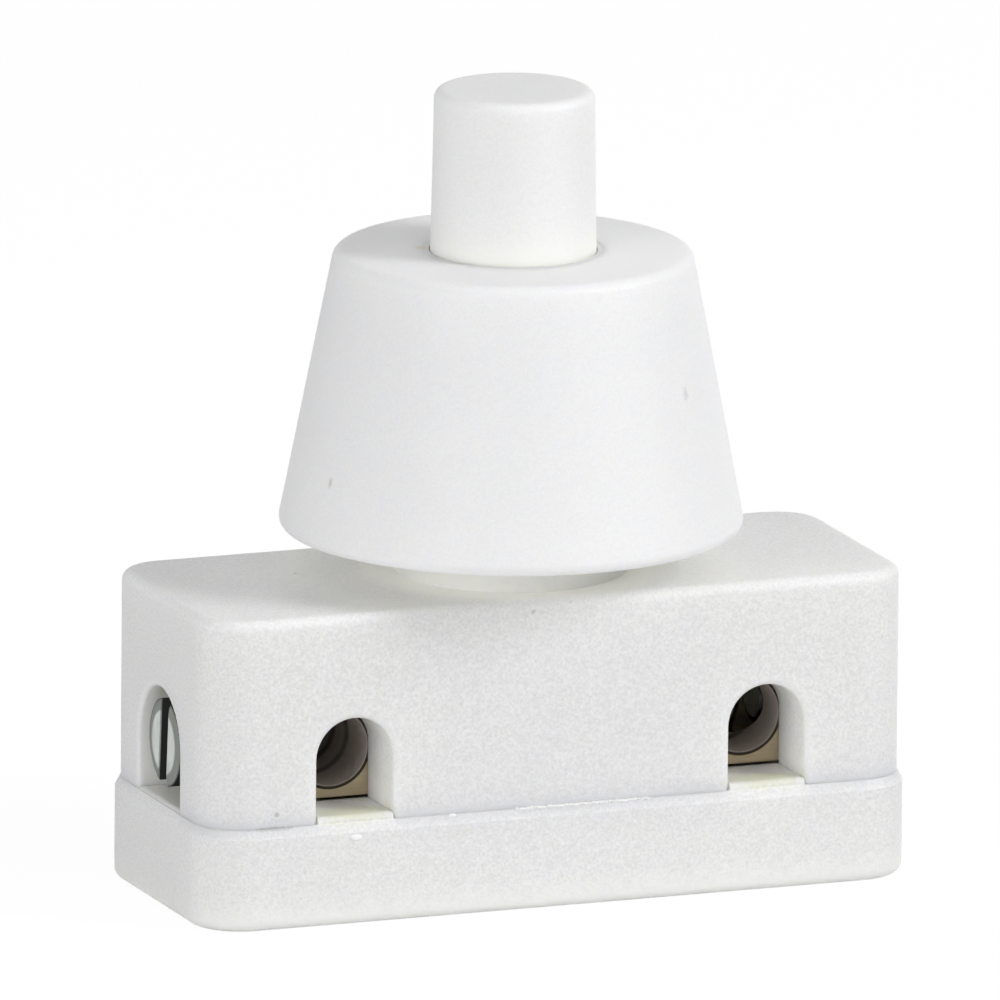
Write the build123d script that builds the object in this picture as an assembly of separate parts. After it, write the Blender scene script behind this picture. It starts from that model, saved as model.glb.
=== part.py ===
from build123d import *
import math
import os

# Push-button lamp switch: a moulded body with two screw terminals, a threaded neck that carries
# a conical ring nut, and a button whose claws turn a saw-toothed contact rotor inside.
# Frame: +Z up, origin in the middle of the base's underside, wire entries on the -Y side.
# All lengths are millimetres and all angles degrees.

# Body: the housing, and the base cover that closes it from below
body_length = 32.0
body_width = 12.6
body_corner_radius = 2.1
housing_height = 9.05
housing_edge_radius = 0.45
roof_thickness = 1.5
chamber_wall = 1.2
base_height = 4.45
base_lip = 0.25
base_floor = 1.6
base_foot_radius = 0.5
base_rim_width = 0.2
base_rim_height = 0.4
peg_diameter = 1.6
peg_height = 3.0
peg_inset = 2.05
peg_clearance = 0.02

# Button and the claws at the lower end of its stem
button_diameter = 7.1
button_top_diameter = 6.86
button_reach = 7.0
button_edge_radius = 0.45
button_clearance = 0.15
button_travel = 3.0
stem_wall = 1.1
claw_angle = 21.0
claw_side_gap = 1.5
claw_root_gap = 0.3
lug_height = 1.4
lug_margin = 0.1
lug_stop_gap = 0.05
lug_end_gap = 0.7
guide_gap = 0.2
guide_wall = 0.8

# Neck and ring nut; the thread itself is left smooth at its core
neck_wall = 0.75
thread_depth = 0.55
thread_clearance = 0.05
neck_chamfer = 0.3
panel_gap = 1.8
nut_bottom_diameter = 20.0
nut_top_diameter = 15.3
nut_height = 12.1
nut_roof = 1.5
nut_wall = 1.4
nut_sleeve_wall = 1.3
nut_hole_gap = 0.32
nut_foot_radius = 0.4
nut_rim_radius = 0.5
nut_rib_count = 4
nut_rib_thickness = 1.2
nut_rib_recess = 1.0

# Rotor and return spring
ramp_pairs = 2
ramp_gap = 0.12
ramp_margin = 0.1
rotor_wall_gap = 0.5
rotor_flange = 1.4
rotor_hub = 1.0
rotor_web = 0.7
axle_diameter = 2.0
axle_clearance = 0.06
spring_length = 13.2
spring_wire = 0.45
spring_gap = 0.35
spring_turns = 7

# Contacts
strip_thickness = 0.4
strip_width = 3.0
strip_bend_radius = 0.45
strip_gap = 0.15
strip_tail = 2.0
shelf_height = 1.0
fixed_contact_diameter = 2.2
fixed_contact_height = 0.5
bridge_contact_diameter = 1.8
bridge_contact_height = 0.4
contact_edge_radius = 0.12
rivet_diameter = 1.0
rivet_tail_diameter = 1.6
rivet_tail_height = 0.3
rivet_clearance = 0.02
bridge_width = 2.8
bridge_thickness = 0.5
bridge_margin = 0.1
stake_diameter = 0.6
pad_margin = 0.1

# Wire entries, terminal blocks and their screws
entry_spacing = 18.8
entry_width = 3.5
entry_height = 4.5
entry_draft = 1.5
mouth_radius = 0.3
wire_axis_height = 2.55
wire_bore_diameter = 3.3
sill_height = 0.3
sill_gap = 0.05
sill_edge_radius = 0.25
block_width = 6.5
block_top_wall = 0.8
block_inner_wall = 0.9
block_screw_wall = 1.3
block_edge_radius = 0.3
stub_diameter = 1.6
pocket_gap = 0.1
pocket_side_gap = 0.05
pocket_roof_gap = 0.15
pocket_ledge = 0.8
partition = 1.0
screw_hole_diameter = 4.9
screw_hole_edge_radius = 0.15
screw_diameter = 3.0
screw_head_diameter = 3.8
screw_head_height = 1.35
screw_head_edge_radius = 0.2
screw_recess = 0.2
screw_slot_width = 0.95
screw_slot_depth = 0.8
screw_tip_gap = 0.05
screw_tip_chamfer = 0.3
screw_clearance = 0.05

# Levels of the body, the neck, the nut and the button
z_parting = base_height
z_top = z_parting + housing_height
z_ceiling = z_top - roof_thickness
z_nut_bottom = z_top + panel_gap
z_nut_top = z_nut_bottom + nut_height
z_neck_end = z_nut_top - nut_roof
z_button_top = z_nut_top + button_reach

# Levels of the contacts and the rotor, counted up from the floor of the base
z_shelf = base_floor + shelf_height
z_strip_top = z_shelf + strip_thickness
z_contact = z_strip_top + fixed_contact_height
z_bridge = z_contact + bridge_contact_height
z_rotor = z_bridge + bridge_thickness
z_flange_top = z_rotor + rotor_flange
z_hub_top = z_flange_top + rotor_hub
z_axle_top = z_hub_top - rotor_web

# Radii about the button's axis
button_radius = button_diameter / 2
stem_bore = button_radius - stem_wall
neck_bore = button_radius + button_clearance
neck_core = neck_bore + neck_wall
thread_radius = neck_core + thread_depth
nut_bore = thread_radius + thread_clearance
ramp_inner = stem_bore - ramp_margin
ramp_outer = button_radius + ramp_margin

# The claws run down the ramps as the rotor turns, so the ramp's slope follows from the travel.
ramp_count = 2 * ramp_pairs
ramp_span = 360 / ramp_count
rotor_turn = ramp_span - claw_angle - 2 * claw_side_gap
ramp_slope = button_travel / rotor_turn
ramp_rise = ramp_slope * ramp_span
ramp_start = claw_angle / 2 + claw_side_gap - ramp_span
z_peak = z_flange_top + ramp_rise
z_claw_root = z_peak + button_travel + claw_root_gap

# Places along X, all measured outwards from the middle
entry_x = entry_spacing / 2
wire_z = z_parting + wire_axis_height
block_inner_x = entry_x - wire_bore_diameter / 2 - block_inner_wall
block_outer_x = entry_x + wire_bore_diameter / 2 + block_screw_wall
pocket_inner_x = block_inner_x - pocket_gap
pocket_outer_x = block_outer_x + pocket_gap
chamber_x = pocket_inner_x - partition
riser_x = pocket_inner_x + strip_gap
lug_x = chamber_x - lug_end_gap
screw_face_x = body_length / 2 - screw_recess
screw_shoulder_x = screw_face_x - screw_head_height
screw_tip_x = entry_x + wire_bore_diameter / 2 + screw_tip_gap

# Places along Y, and the contact circle
chamber_y = body_width / 2 - chamber_wall
pocket_y = block_width / 2 + pocket_side_gap
entry_depth = body_width / 2 - pocket_y
entry_taper = entry_depth * math.tan(math.radians(entry_draft))
rotor_radius = min(chamber_x, chamber_y) - rotor_wall_gap
bridge_radius = rotor_radius - bridge_margin
contact_circle = bridge_radius - bridge_contact_diameter / 2 - bridge_margin
block_bottom = z_parting + strip_thickness
block_top = wire_z + wire_bore_diameter / 2 + block_top_wall
z_pocket_roof = block_top + pocket_roof_gap
strip_end_x = contact_circle - fixed_contact_diameter / 2 - pad_margin
lug_half_width = button_radius * math.sin(math.radians(claw_angle / 2)) - lug_margin

BOTTOM = (Align.CENTER, Align.CENTER, Align.MIN)


def block(x, y, z):
    """A box between two places along each axis."""
    size = (x[1] - x[0], y[1] - y[0], z[1] - z[0])
    return Pos((x[0] + x[1]) / 2, (y[0] + y[1]) / 2, z[0]) * Box(*size, align=BOTTOM)


def rod(radius, bottom, top, x=0.0, y=0.0):
    """A round bar along Z."""
    return Pos(x, y, bottom) * Cylinder(radius, top - bottom, align=BOTTOM)


def rod_along_x(radius, start, end, z):
    """A round bar along X, on the middle plane."""
    return Pos(start, 0, z) * Rot(0, 90, 0) * Cylinder(radius, end - start, align=BOTTOM)


def rod_along_y(radius, start, end, x, z):
    """A round bar along Y."""
    return Pos(x, start, z) * Rot(-90, 0, 0) * Cylinder(radius, end - start, align=BOTTOM)


def moulded_block(length, width, corner_radius, bottom, top):
    """An upright block with rounded corners, centred on the button's axis."""
    return Pos(0, 0, bottom) * extrude(RectangleRounded(length, width, corner_radius), top - bottom)


def turned(*points):
    """A solid of revolution about the button's axis, from (radius, z) points."""
    return revolve(Plane.XZ * make_face(Polyline(*points, close=True)), Axis.Z)


def arch(width, height):
    """The outline of an opening with a flat foot and a round top, its foot on the sketch's X axis."""
    crown = height - width / 2
    return Pos(0, crown / 2) * Rectangle(width, crown) + Pos(0, crown) * Circle(width / 2)


def both_sides(shape):
    """A left-hand shape and its mirror image on the right."""
    return shape + mirror(shape, about=Plane.YZ)


def helical_ramp(foot, inner, outer):
    """One tooth of the saw crown: its upper face climbs by the ramp's slope over the ramp's span."""
    middle = (inner + outer) / 2
    depth = 2 * ramp_rise
    path = Helix(pitch=360 * ramp_slope, height=ramp_rise, radius=middle)
    section = Plane.XZ * Pos(middle, -depth / 2) * Rectangle(outer - inner, depth)
    return Pos(0, 0, foot) * Rot(0, 0, ramp_start) * sweep(section, path=path, is_frenet=True)


def make_upper_housing():
    """Shell with the neck, the middle chamber, two terminal pockets and their openings."""
    shell = moulded_block(body_length, body_width, body_corner_radius, z_parting, z_top)
    shell = fillet(shell.edges().group_by(Axis.Z)[-1], housing_edge_radius)
    collar = rod(thread_radius, z_top, z_nut_bottom)
    neck = rod(neck_core, z_nut_bottom, z_neck_end)
    neck = chamfer(neck.edges().group_by(Axis.Z)[-1], neck_chamfer)
    housing = shell + collar + neck
    housing -= block((-chamber_x, chamber_x), (-chamber_y, chamber_y), (z_parting, z_ceiling))
    housing -= rod(neck_bore, z_ceiling, z_neck_end)
    housing += both_sides(make_button_guides())
    housing -= both_sides(make_pocket() + make_wire_entry() + make_screw_hole())
    housing = fillet(wire_mouth_edges(housing), mouth_radius)
    housing = fillet(screw_mouth_edges(housing), screw_hole_edge_radius)
    return housing - both_sides(make_pegs(peg_diameter / 2 + peg_clearance, peg_height + peg_clearance))


def make_button_guides():
    """Two ribs on the left partition, between which the button's lug slides."""
    inner = lug_half_width + guide_gap
    ribs = Part()
    for side in (-1, 1):
        near, far = sorted((side * inner, side * (inner + guide_wall)))
        ribs += block((-chamber_x, -ramp_outer - lug_end_gap), (near, far),
                      (z_flange_top + guide_gap, z_ceiling))
    return ribs


def make_pocket():
    """Room for the left terminal block, cored higher in the middle so that ledges stop the block."""
    seat = block((-pocket_outer_x, -pocket_inner_x), (-pocket_y, pocket_y), (z_parting, z_pocket_roof))
    core = block((-pocket_outer_x + pocket_ledge, -pocket_inner_x - pocket_ledge),
                 (-pocket_y + pocket_ledge, pocket_y - pocket_ledge), (z_parting, z_ceiling))
    return seat + core


def make_wire_entry():
    """Arched tunnel through the front wall, on the left, narrowing inwards by the mould's draft."""
    front = Plane(origin=(-entry_x, -body_width / 2, z_parting), x_dir=(-1, 0, 0), z_dir=(0, 1, 0))
    outline = Pos(0, -sill_height) * arch(entry_width, entry_height + sill_height)
    return extrude(front * outline, entry_depth, taper=entry_draft)


def make_screw_hole():
    """Arched hole through the left end wall."""
    end = Plane(origin=(-entry_x, 0, z_parting), x_dir=(0, -1, 0), z_dir=(-1, 0, 0))
    height = wire_axis_height + screw_hole_diameter / 2
    return extrude(end * arch(screw_hole_diameter, height), body_length / 2 - entry_x)


def wire_mouth_edges(housing):
    """The outer edges of both wire entries, without their feet."""
    edges = housing.edges().filter_by_position(Axis.Z, z_parting + mouth_radius, z_ceiling)
    half_entry = entry_width / 2 + mouth_radius
    front = edges.group_by(Axis.Y)[0]
    return front.filter_by(lambda edge: abs(abs(edge.center().X) - entry_x) < half_entry)


def screw_mouth_edges(housing):
    """The outer edges of both screw holes, without their feet."""
    edges = housing.edges().filter_by_position(Axis.Z, z_parting + mouth_radius, z_ceiling)
    half_hole = screw_hole_diameter / 2 + screw_hole_edge_radius
    ends = edges.group_by(Axis.X)[0] + edges.group_by(Axis.X)[-1]
    return ends.filter_by(lambda edge: abs(edge.center().Y) < half_hole)


def make_pegs(radius, height):
    """The two locating pegs at the left end of the base, or the holes for them."""
    x = -body_length / 2 + peg_inset
    y = body_width / 2 - peg_inset
    top = z_parting + height
    return rod(radius, z_parting, top, x, -y) + rod(radius, z_parting, top, x, y)


def make_base_cover():
    """Tray with the rotor's axle, the contact track, the strips' shelves, the sills and the pegs."""
    cover = moulded_block(body_length + 2 * base_lip, body_width + 2 * base_lip,
                          body_corner_radius + base_lip, 0, z_parting)
    cover = fillet(cover.edges().group_by(Axis.Z)[0], base_foot_radius)
    rim = cover.faces().sort_by(Axis.Z)[-1]
    cover = chamfer(rim.edges(), base_rim_width, base_rim_height, reference=rim)
    cover -= block((-chamber_x, chamber_x), (-chamber_y, chamber_y), (base_floor, z_parting))
    cover += make_contact_track() + rod(axle_diameter / 2, base_floor, z_axle_top)
    cover += both_sides(make_strip_shelf())
    cover -= both_sides(make_strip_channel())
    cover += both_sides(make_sills() + make_pegs(peg_diameter / 2, peg_height))
    return cover


def make_contact_track():
    """Two raised arcs on which the bridge's contacts slide from one fixed contact to the other."""
    reach = bridge_contact_diameter / 2 + pad_margin
    ring = rod(contact_circle + reach, base_floor, z_contact)
    ring -= rod(contact_circle - reach, base_floor, z_contact)
    half_band = strip_width / 2 + strip_gap + pad_margin
    return ring - block((-chamber_x, chamber_x), (-half_band, half_band), (base_floor, z_contact))


def make_strip_shelf():
    """Step that carries the left strip's inner run, with a hollow for the rivet's tail."""
    shelf = block((-chamber_x, -strip_end_x), (-strip_width / 2, strip_width / 2), (base_floor, z_shelf))
    hollow_radius = rivet_tail_diameter / 2 + strip_gap
    return shelf - rod(hollow_radius, z_shelf - rivet_tail_height - strip_gap, z_shelf, -contact_circle)


def make_strip_channel():
    """Groove in the base through which the left strip drops to its shelf."""
    outer = riser_x + strip_thickness / 2 + strip_bend_radius + strip_gap
    half_width = strip_width / 2 + strip_gap
    return block((-outer, -chamber_x), (-half_width, half_width), (z_shelf, z_parting))


def make_sills():
    """Tongues that close the left wire entry and the left screw hole at the parting plane."""
    bottom, top = z_parting - sill_height, z_parting + sill_height
    front, back = -body_width / 2, -pocket_y - sill_gap
    half_mouth = entry_width / 2 - sill_gap
    half_inner = half_mouth - entry_taper
    plan = Polyline((-half_mouth, front), (half_mouth, front),
                    (half_inner, back), (-half_inner, back), close=True)
    wire_sill = Pos(-entry_x, 0, bottom) * extrude(make_face(plan), top - bottom)
    wire_sill = fillet(wire_sill.edges().group_by(Axis.Z)[-1].sort_by(Axis.Y)[0], sill_edge_radius)
    half_hole = screw_hole_diameter / 2 - sill_gap
    hole_foot = wire_z - screw_hole_diameter / 2
    screw_sill = block((-body_length / 2, -pocket_outer_x - sill_gap), (-half_hole, half_hole),
                       (bottom, hole_foot))
    return wire_sill + fillet(screw_sill.edges().group_by(Axis.Z)[-1].sort_by(Axis.X)[0], sill_edge_radius)


def make_cone_nut():
    """Conical cap nut, cored from below round its threaded sleeve, with ribs between the two walls."""
    bottom, top = nut_bottom_diameter / 2, nut_top_diameter / 2
    cone = turned((0, z_nut_bottom), (bottom, z_nut_bottom), (top, z_nut_top), (0, z_nut_top))
    cone = fillet(cone.edges().group_by(Axis.Z)[0], nut_foot_radius)
    cone = fillet(cone.edges().group_by(Axis.Z)[-1], nut_rim_radius)
    roof_radius = top + (bottom - top) * nut_roof / nut_height
    hollow = turned((0, z_nut_bottom), (bottom - nut_wall, z_nut_bottom),
                    (roof_radius - nut_wall, z_neck_end), (0, z_neck_end))
    hollow -= rod(nut_bore + nut_sleeve_wall, z_nut_bottom, z_neck_end)
    for index in range(nut_rib_count):
        rib = block((0, bottom), (-nut_rib_thickness / 2, nut_rib_thickness / 2),
                    (z_nut_bottom + nut_rib_recess, z_neck_end))
        hollow -= Rot(0, 0, 360 * index / nut_rib_count) * rib
    nut = cone - hollow
    nut -= rod(nut_bore, z_nut_bottom, z_neck_end)
    return nut - rod(button_radius + nut_hole_gap, z_neck_end, z_nut_top)


def make_push_button():
    """Button with a hollow stem that ends in two sloped claws, each with a lug that stops it."""
    z_bore_end = z_hub_top + spring_length
    button = turned((stem_bore, z_claw_root), (button_radius, z_claw_root), (button_radius, z_nut_top),
                    (button_top_diameter / 2, z_button_top), (0, z_button_top),
                    (0, z_bore_end), (stem_bore, z_bore_end))
    button = fillet(button.edges().group_by(Axis.Z)[-1], button_edge_radius)
    claw = make_claw()
    return button + claw + Rot(0, 0, 180) * claw


def make_claw():
    """The claw on the +X side: a slice of the stem, ended by the slope that rides on the rotor."""
    reach = 2 * button_radius
    half_chord = reach * math.tan(math.radians(claw_angle / 2))
    slice_face = make_face(Polyline((0, 0), (reach, -half_chord), (reach, half_chord), close=True))
    wedge = Pos(0, 0, z_flange_top) * extrude(slice_face, z_claw_root - z_flange_top)
    tube = rod(button_radius, z_flange_top, z_claw_root) - rod(stem_bore, z_flange_top, z_claw_root)
    claw = (tube & wedge) - helical_ramp(z_flange_top + ramp_gap, stem_bore / 2, 2 * button_radius)
    stop = z_ceiling - lug_stop_gap
    lug_root = (stem_bore + button_radius) / 2
    return claw + block((lug_root, lug_x), (-lug_half_width, lug_half_width), (stop - lug_height, stop))


def make_return_spring():
    """Coil spring between the rotor's hub and the end of the stem's bore."""
    radius = stem_bore - spring_gap - spring_wire / 2
    height = spring_length - spring_wire
    path = Helix(pitch=height / spring_turns, height=height, radius=radius)
    section = Plane(origin=path @ 0, z_dir=path % 0) * Circle(spring_wire / 2)
    return Pos(0, 0, z_hub_top + spring_wire / 2) * sweep(section, path=path, is_frenet=True)


def make_rotor():
    """Contact carrier: a drum on the axle with a crown of helical saw teeth and two stakes below."""
    crown_ring = rod(ramp_outer, z_rotor, z_peak + rotor_hub) - rod(ramp_inner, z_rotor, z_peak + rotor_hub)
    tooth = helical_ramp(z_flange_top, ramp_inner / 2, 2 * ramp_outer) & crown_ring
    rotor = rod(rotor_radius, z_rotor, z_flange_top) + rod(ramp_inner, z_rotor, z_hub_top)
    for index in range(ramp_count):
        rotor += Rot(0, 0, ramp_span * index) * tooth
    for y in stake_places():
        rotor += rod(stake_diameter / 2, z_bridge, z_rotor, 0, y)
    return rotor - rod(axle_diameter / 2 + axle_clearance, z_rotor, z_axle_top + axle_clearance)


def stake_places():
    """Where the rotor's stakes pass through the bridge, halfway between its axle hole and contacts."""
    inner = axle_diameter / 2 + strip_gap
    outer = contact_circle - bridge_contact_diameter / 2
    middle = (inner + outer) / 2
    return -middle, middle


def make_contact_bridge():
    """Round-ended plate under the rotor, across the strips' direction while the switch is off."""
    plate = extrude(SlotOverall(2 * bridge_radius, bridge_width, rotation=90), bridge_thickness)
    bridge = Pos(0, 0, z_bridge) * plate
    bridge -= rod(axle_diameter / 2 + strip_gap, z_bridge, z_rotor)
    for y in stake_places():
        bridge -= rod(stake_diameter / 2 + rivet_clearance, z_bridge, z_rotor, 0, y)
    for y in (-contact_circle, contact_circle):
        bridge -= rod(rivet_diameter / 2 + rivet_clearance, z_bridge, z_rotor, 0, y)
    return bridge


def make_bridge_contact(y):
    """Contact rivet in the bridge, flush with the bridge's upper face."""
    head = rod(bridge_contact_diameter / 2, z_contact, z_bridge, 0, y)
    head = fillet(head.edges().group_by(Axis.Z)[0], contact_edge_radius)
    return head + rod(rivet_diameter / 2, z_bridge, z_rotor, 0, y)


def make_contact_strip():
    """Left strip: its upper run lies under the terminal block and its lower run on the shelf."""
    upper_z = z_parting + strip_thickness / 2
    lower_z = z_shelf + strip_thickness / 2
    bend_x = riser_x + strip_thickness / 2
    line = FilletPolyline((-entry_x - strip_tail, upper_z), (-bend_x, upper_z), (-bend_x, lower_z),
                          (-strip_end_x, lower_z), radius=strip_bend_radius)
    strip = extrude(Plane.XZ * trace(line, strip_thickness), strip_width / 2, both=True)
    strip -= rod(stub_diameter / 2 + rivet_clearance, z_parting, block_bottom, -entry_x)
    return strip - rod(rivet_diameter / 2 + rivet_clearance, z_shelf, z_strip_top, -contact_circle)


def make_fixed_contact():
    """Contact rivet in the left strip, closed under it in the shelf's hollow."""
    x = -contact_circle
    head = rod(fixed_contact_diameter / 2, z_strip_top, z_contact, x)
    head = fillet(head.edges().group_by(Axis.Z)[-1], contact_edge_radius)
    shank = rod(rivet_diameter / 2, z_shelf, z_strip_top, x)
    return head + shank + rod(rivet_tail_diameter / 2, z_shelf - rivet_tail_height, z_shelf, x)


def make_terminal_block():
    """Left terminal: a brass bar with a cross bore for the wire, a screw hole and a riveting stub."""
    half_width = block_width / 2
    terminal = block((-block_outer_x, -block_inner_x), (-half_width, half_width), (block_bottom, block_top))
    terminal = fillet(terminal.edges().filter_by(Axis.Y), block_edge_radius)
    terminal += rod(stub_diameter / 2, z_parting, block_bottom, -entry_x)
    terminal -= rod_along_y(wire_bore_diameter / 2, -half_width, half_width, -entry_x, wire_z)
    return terminal - rod_along_x(screw_diameter / 2 + screw_clearance, -block_outer_x, -entry_x, wire_z)


def make_terminal_screw():
    """Left terminal screw, backed off so that its tip leaves the wire bore free."""
    shank = rod_along_x(screw_diameter / 2, -screw_shoulder_x, -screw_tip_x, wire_z)
    shank = chamfer(shank.edges().group_by(Axis.X)[-1], screw_tip_chamfer)
    head = rod_along_x(screw_head_diameter / 2, -screw_face_x, -screw_shoulder_x, wire_z)
    head = fillet(head.edges().group_by(Axis.X)[0], screw_head_edge_radius)
    half_slot = screw_slot_width / 2
    slot = block((-screw_face_x, -screw_face_x + screw_slot_depth), (-half_slot, half_slot),
                 (wire_z - screw_head_diameter, wire_z + screw_head_diameter))
    return head + shank - slot


nodes = {
    "upper_housing": make_upper_housing(),
    "base_cover": make_base_cover(),
    "cone_nut": make_cone_nut(),
    "push_button": make_push_button(),
    "return_spring": make_return_spring(),
    "rotor": make_rotor(),
    "contact_bridge": make_contact_bridge(),
    "front_bridge_contact": make_bridge_contact(-contact_circle),
    "rear_bridge_contact": make_bridge_contact(contact_circle),
}
left_nodes = {
    "contact_strip": make_contact_strip(),
    "fixed_contact": make_fixed_contact(),
    "terminal_block": make_terminal_block(),
    "terminal_screw": make_terminal_screw(),
}
for name, shape in left_nodes.items():
    nodes["left_" + name] = shape
    nodes["right_" + name] = mirror(shape, about=Plane.YZ)

os.makedirs("parts", exist_ok=True)
for name, shape in nodes.items():
    export_step(shape, f"parts/{name}.step")
print(f"{len(nodes)} nodes, {z_button_top:.2f} mm high, thread diameter {2 * thread_radius:.2f} mm")
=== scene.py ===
# %% [markdown]
# # A push-button lamp switch, finished for its picture
# The switch arrives as a set of finished solids: a white moulded body, a conical ring nut, a button
# and the metal parts inside. This lesson models the fine pieces that solids leave out, such as the
# threads and the slotted screws, gives every surface its finish and sets up a small studio.
# The solids stay where they are. Everything new is built in the same place and in metres.

# %% Load the solids
import math

import bmesh
import bpy
from mathutils import Matrix, Vector


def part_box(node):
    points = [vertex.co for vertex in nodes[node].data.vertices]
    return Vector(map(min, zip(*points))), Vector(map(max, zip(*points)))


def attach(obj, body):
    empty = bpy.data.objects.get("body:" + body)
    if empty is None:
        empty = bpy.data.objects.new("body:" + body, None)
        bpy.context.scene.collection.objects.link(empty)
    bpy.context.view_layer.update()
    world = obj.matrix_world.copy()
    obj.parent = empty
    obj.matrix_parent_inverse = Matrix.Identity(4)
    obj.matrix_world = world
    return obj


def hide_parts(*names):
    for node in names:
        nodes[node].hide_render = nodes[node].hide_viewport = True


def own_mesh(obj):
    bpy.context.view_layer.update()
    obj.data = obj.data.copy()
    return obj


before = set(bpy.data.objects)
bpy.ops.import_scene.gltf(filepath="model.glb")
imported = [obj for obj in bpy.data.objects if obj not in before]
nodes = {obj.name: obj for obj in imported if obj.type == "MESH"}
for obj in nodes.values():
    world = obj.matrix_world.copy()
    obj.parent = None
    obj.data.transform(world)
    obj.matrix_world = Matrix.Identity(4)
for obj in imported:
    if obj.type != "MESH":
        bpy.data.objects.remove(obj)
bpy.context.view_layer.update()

mm = 0.001

# %% [markdown]
# ## The levels of the switch
# A few heights and widths come back in every later step. They are read from the solids' boxes, so a
# solid that changes its size takes the new pieces along. Only the gap under the nut and the place of the
# wire entries don't show in a box, and are given here.

# %% Read the levels from the solids
housing_low, housing_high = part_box("upper_housing")
nut_low, nut_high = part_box("cone_nut")
screw_low, screw_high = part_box("left_terminal_screw")
spring_low, spring_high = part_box("return_spring")
block_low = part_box("left_terminal_block")[0]

panel_gap = 1.8 * mm
parting = housing_low[2]
neck_end = housing_high[2]
nut_bottom = nut_low[2]
nut_top = nut_high[2]
body_top = nut_bottom - panel_gap
body_front = housing_low[1]
entry_x = 9.4 * mm
wire_height = (screw_low[2] + screw_high[2]) / 2
for level, height in (("parting line", parting), ("body top", body_top), ("neck end", neck_end)):
    print(level, "at", round(height / mm, 2), "mm")

# %% [markdown]
# ## The camera
# The picture looks at the switch from the front, a little to the left and a little from above, and
# its upright edges stay parallel, so the camera stands far off with a very long lens. A nearer camera
# would splay the body. A flat, parallel camera would do too, but the long lens keeps the other views
# working the same way.

# %% Place the camera
view_left = math.radians(21.25)
view_above = math.radians(13.12)
view_roll = math.radians(0.48)
camera_distance = 1.6
picture_width = 42.68 * mm
sensor_width = 36.0
aim_left = 0.478 * mm
aim_above = 2.813 * mm

to_camera = Vector((-math.sin(view_left) * math.cos(view_above), -math.cos(view_left) * math.cos(view_above),
                    math.sin(view_above)))
picture_right = Vector((math.cos(view_left), -math.sin(view_left), 0.0))
picture_up = to_camera.cross(picture_right)

# The middle of the body's top lies a little right of the picture's middle, and lower.
aim = Vector((0, 0, body_top)) - picture_right * aim_left + picture_up * aim_above
bpy.ops.object.camera_add(location=aim + to_camera * camera_distance)
camera = bpy.context.object
camera.name = "picture_camera"
camera.rotation_euler = (Matrix.Rotation(view_roll, 3, to_camera)
                         @ Matrix((picture_right, picture_up, to_camera)).transposed()).to_euler()
camera.data.sensor_width = sensor_width
camera.data.lens = sensor_width * camera_distance / picture_width
camera.data.clip_end = 10.0
bpy.context.scene.camera = camera
print("lens", round(camera.data.lens), "mm")

# %% [markdown]
# ## Small tools for shading
# Every finish below is a tree of shader nodes. Four helpers keep those trees short: one adds a node
# with its values, one joins an output to an input, one empties a tree to start from, and one puts a
# sum, a product or the like between two outputs.

# %% Define the node helpers


def add_node(tree, kind, inputs=None, **settings):
    """Adds a shader node and sets its options and the values of its inputs."""
    node = tree.nodes.new(kind)
    for name, value in settings.items():
        setattr(node, name, value)
    for name, value in (inputs or {}).items():
        node.inputs[name].default_value = value
    return node


def join(tree, source, target, name):
    """Links an output to a named or numbered input of a node."""
    tree.links.new(source, target.inputs[name])


def clear_tree(owner):
    """Switches a material or a world to nodes, and empties its tree."""
    owner.use_nodes = True
    owner.node_tree.nodes.clear()
    return owner.node_tree


def combine(tree, operation, first, second):
    """A math node between two outputs, or between an output and a number."""
    node = add_node(tree, "ShaderNodeMath", operation=operation)
    for index, value in enumerate((first, second)):
        if isinstance(value, (int, float)):
            node.inputs[index].default_value = value
        else:
            join(tree, value, node, index)
    return node.outputs[0]


print("node helpers ready")

# %% [markdown]
# ## The studio
# The switch is shown on white. The floor is a real board that takes the switch's shadow, and only
# what the camera sees of it is lifted to white, so no extra light falls on the object. The world is a
# weak, even light from everywhere. Metal would mirror that dim world and look black, so glossy rays
# get the white of the backdrop.

# %% Build the world and the floor
scene = bpy.context.scene
scene.view_settings.view_transform = "Standard"
light_tint = (0.955, 0.965, 1.0, 1)
world_level = 0.19
board_grey = (0.86, 0.86, 0.86, 1)
board_lift = 1.06
lifted_share = 0.88
white = (1, 1, 1, 1)
floor_size = 2.0
floor_drop = 0.01 * mm


def seen_directly(tree):
    """One for camera, glossy and transmission rays, which see the white backdrop, and nought for light."""
    path = add_node(tree, "ShaderNodeLightPath")
    looked_at = combine(tree, "MAXIMUM", path.outputs["Is Camera Ray"], path.outputs["Is Glossy Ray"])
    return combine(tree, "MAXIMUM", looked_at, path.outputs["Is Transmission Ray"])


def white_world():
    """A world that lights softly and looks white."""
    world = bpy.data.worlds.new("studio_world")
    tree = clear_tree(world)
    light = add_node(tree, "ShaderNodeBackground", {"Color": light_tint, "Strength": world_level})
    backdrop = add_node(tree, "ShaderNodeBackground", {"Color": white, "Strength": 1.0})
    mix = add_node(tree, "ShaderNodeMixShader")
    out = add_node(tree, "ShaderNodeOutputWorld")
    join(tree, seen_directly(tree), mix, "Fac")
    join(tree, light.outputs[0], mix, 1)
    join(tree, backdrop.outputs[0], mix, 2)
    join(tree, mix.outputs[0], out, "Surface")
    return world


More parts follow.
